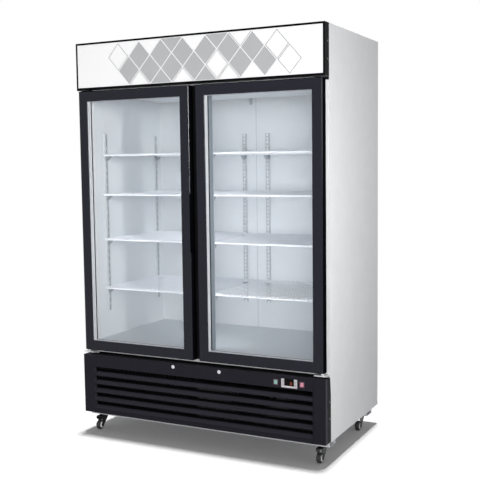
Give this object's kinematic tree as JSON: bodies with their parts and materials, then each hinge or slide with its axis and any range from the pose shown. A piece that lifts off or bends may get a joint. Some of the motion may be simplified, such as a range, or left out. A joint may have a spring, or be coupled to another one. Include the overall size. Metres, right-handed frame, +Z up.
{
  "type": "glass door display freezer",
  "caption": "Upright glass-door display freezer with swing doors, lit header panel, wire shelves, louvred base grille and swivel casters.",
  "frame": {"origin": "middle of the footprint, at floor level under the casters", "axes": "+X to the right seen from the front, +Y to the back, +Z up"},
  "size_m": [1.382, 0.7859, 2.054],
  "materials": {
    "white_paint": "semi-gloss",
    "liner_white": "satin",
    "foam": "matte",
    "door_charcoal": "satin",
    "header_black": "semi-gloss",
    "grille_black": "satin",
    "mullion_black": "satin",
    "sign_white": "gloss",
    "lamp_white": "diffuse",
    "galvanised": "galvanised",
    "bracket_steel": "zinc plated",
    "glass": "clear",
    "spacer_white": "satin",
    "gasket_grey": "matte",
    "wire_white": "coated",
    "clip_zinc": "zinc plated",
    "compressor_black": "satin",
    "coil_aluminium": "mill",
    "copper": "bright",
    "motor_steel": "plain",
    "fan_plastic": "matte",
    "pan_plastic": "matte",
    "switch_black": "gloss",
    "switch_green": "translucent",
    "switch_red": "translucent",
    "controller_grey": "satin",
    "display_black": "gloss",
    "key_grey": "satin",
    "lock_chrome": "polished",
    "fork_black": "satin",
    "wheel_rubber": "matte"
  },
  "bodies": {
    "cabinet": {"left_side_panel": "white_paint", "right_side_panel": "white_paint", "top_panel": "white_paint", "rear_panel": "galvanised", "rear_grille": "galvanised", "foam_insulation": "foam", "inner_liner": "liner_white", "front_frame": "white_paint", "center_mullion": "mullion_black", "header_housing": "header_black", "header_sign": "sign_white", "lamp_strips": "lamp_white", "base_grille": "grille_black", "grille_end_caps": "grille_black", "base_frame": "galvanised", "compressor": "compressor_black", "condenser_coil": "compressor_black", "condenser_fan_shroud": "galvanised", "fan_motors": "motor_steel", "drain_pan": "pan_plastic", "refrigerant_lines": "copper", "evaporator_coil": "coil_aluminium", "evaporator_housing": "liner_white", "temperature_controller": "controller_grey", "controller_window": "display_black", "switch_bodies": "switch_black", "lock_bodies": "lock_chrome", "shelf_pilasters": "clip_zinc", "shelf_clips": "clip_zinc", "left_shelves": "wire_white", "right_shelves": "wire_white", "hinge_brackets": "bracket_steel", "caster_plates": "fork_black"},
    "left_door": {"left_door_frame": "door_charcoal", "left_door_glass": "glass", "left_door_spacer": "spacer_white", "left_door_gasket": "gasket_grey"},
    "right_door": {"right_door_frame": "door_charcoal", "right_door_glass": "glass", "right_door_spacer": "spacer_white", "right_door_gasket": "gasket_grey"},
    "front_left_fork": {"front_left_caster_fork": "fork_black"},
    "front_left_wheel": {"front_left_caster_wheel": "wheel_rubber"},
    "front_right_fork": {"front_right_caster_fork": "fork_black"},
    "front_right_wheel": {"front_right_caster_wheel": "wheel_rubber"},
    "rear_left_fork": {"rear_left_caster_fork": "fork_black"},
    "rear_left_wheel": {"rear_left_caster_wheel": "wheel_rubber"},
    "rear_right_fork": {"rear_right_caster_fork": "fork_black"},
    "rear_right_wheel": {"rear_right_caster_wheel": "wheel_rubber"},
    "condenser_fan_body": {"condenser_fan": "fan_plastic"},
    "left_evaporator_fan_body": {"left_evaporator_fan": "fan_plastic"},
    "right_evaporator_fan_body": {"right_evaporator_fan": "fan_plastic"},
    "green_rocker_body": {"green_rocker": "switch_green"},
    "red_rocker_body": {"red_rocker": "switch_red"},
    "left_lock_plug_body": {"left_lock_plug": "lock_chrome"},
    "right_lock_plug_body": {"right_lock_plug": "lock_chrome"},
    "upper_left_key_body": {"upper_left_key": "key_grey"},
    "lower_left_key_body": {"lower_left_key": "key_grey"},
    "upper_right_key_body": {"upper_right_key": "key_grey"},
    "lower_right_key_body": {"lower_right_key": "key_grey"}
  },
  "joints": [
    {"name": "left_door_hinge", "type": "hinge", "parent": "cabinet", "child": "left_door", "pos_m": [-0.668, -0.367, 1.127], "axis": [0, 0, -1], "range_deg": [0, 110], "stiffness_Nm_per_rad": 0.8},
    {"name": "right_door_hinge", "type": "hinge", "parent": "cabinet", "child": "right_door", "pos_m": [0.668, -0.367, 1.127], "axis": [0, 0, 1], "range_deg": [0, 110], "stiffness_Nm_per_rad": 0.8},
    {"name": "front_left_swivel", "type": "hinge", "parent": "cabinet", "child": "front_left_fork", "pos_m": [-0.638, -0.299, 0.06], "axis": [0, 0, 1], "continuous": true},
    {"name": "front_left_roll", "type": "hinge", "parent": "front_left_fork", "child": "front_left_wheel", "pos_m": [-0.638, -0.331, 0.025], "axis": [1, 0, 0], "continuous": true},
    {"name": "front_right_swivel", "type": "hinge", "parent": "cabinet", "child": "front_right_fork", "pos_m": [0.638, -0.299, 0.06], "axis": [0, 0, 1], "continuous": true},
    {"name": "front_right_roll", "type": "hinge", "parent": "front_right_fork", "child": "front_right_wheel", "pos_m": [0.638, -0.331, 0.025], "axis": [1, 0, 0], "continuous": true},
    {"name": "rear_left_swivel", "type": "hinge", "parent": "cabinet", "child": "rear_left_fork", "pos_m": [-0.638, 0.253, 0.06], "axis": [0, 0, 1], "continuous": true},
    {"name": "rear_left_roll", "type": "hinge", "parent": "rear_left_fork", "child": "rear_left_wheel", "pos_m": [-0.638, 0.221, 0.025], "axis": [1, 0, 0], "continuous": true},
    {"name": "rear_right_swivel", "type": "hinge", "parent": "cabinet", "child": "rear_right_fork", "pos_m": [0.638, 0.253, 0.06], "axis": [0, 0, 1], "continuous": true},
    {"name": "rear_right_roll", "type": "hinge", "parent": "rear_right_fork", "child": "rear_right_wheel", "pos_m": [0.638, 0.221, 0.025], "axis": [1, 0, 0], "continuous": true},
    {"name": "condenser_fan_spin", "type": "hinge", "parent": "cabinet", "child": "condenser_fan_body", "pos_m": [-0.3, -0.22, 0.241], "axis": [0, 1, 0], "continuous": true},
    {"name": "left_evaporator_fan_spin", "type": "hinge", "parent": "cabinet", "child": "left_evaporator_fan_body", "pos_m": [-0.27, -0.045, 1.892], "axis": [0, 1, 0], "continuous": true},
    {"name": "right_evaporator_fan_spin", "type": "hinge", "parent": "cabinet", "child": "right_evaporator_fan_body", "pos_m": [0.27, -0.045, 1.892], "axis": [0, 1, 0], "continuous": true},
    {"name": "green_rocker_tilt", "type": "hinge", "parent": "cabinet", "child": "green_rocker_body", "pos_m": [0.437, -0.3872, 0.3855], "axis": [1, 0, 0], "range_deg": [0, 16]},
    {"name": "red_rocker_tilt", "type": "hinge", "parent": "cabinet", "child": "red_rocker_body", "pos_m": [0.5725, -0.3872, 0.3855], "axis": [1, 0, 0], "range_deg": [0, 16]},
    {"name": "left_lock_turn", "type": "hinge", "parent": "cabinet", "child": "left_lock_plug_body", "pos_m": [-0.132, -0.38, 0.404], "axis": [0, 1, 0], "range_deg": [0, 90]},
    {"name": "right_lock_turn", "type": "hinge", "parent": "cabinet", "child": "right_lock_plug_body", "pos_m": [0.132, -0.38, 0.404], "axis": [0, -1, 0], "range_deg": [0, 90]},
    {"name": "upper_left_key_press", "type": "slide", "parent": "cabinet", "child": "upper_left_key_body", "axis": [0, 1, 0], "range_m": [0, 0.0008], "stiffness_N_per_m": 300},
    {"name": "lower_left_key_press", "type": "slide", "parent": "cabinet", "child": "lower_left_key_body", "axis": [0, 1, 0], "range_m": [0, 0.0008], "stiffness_N_per_m": 300},
    {"name": "upper_right_key_press", "type": "slide", "parent": "cabinet", "child": "upper_right_key_body", "axis": [0, 1, 0], "range_m": [0, 0.0008], "stiffness_N_per_m": 300},
    {"name": "lower_right_key_press", "type": "slide", "parent": "cabinet", "child": "lower_right_key_body", "axis": [0, 1, 0], "range_m": [0, 0.0008], "stiffness_N_per_m": 300}
  ]
}
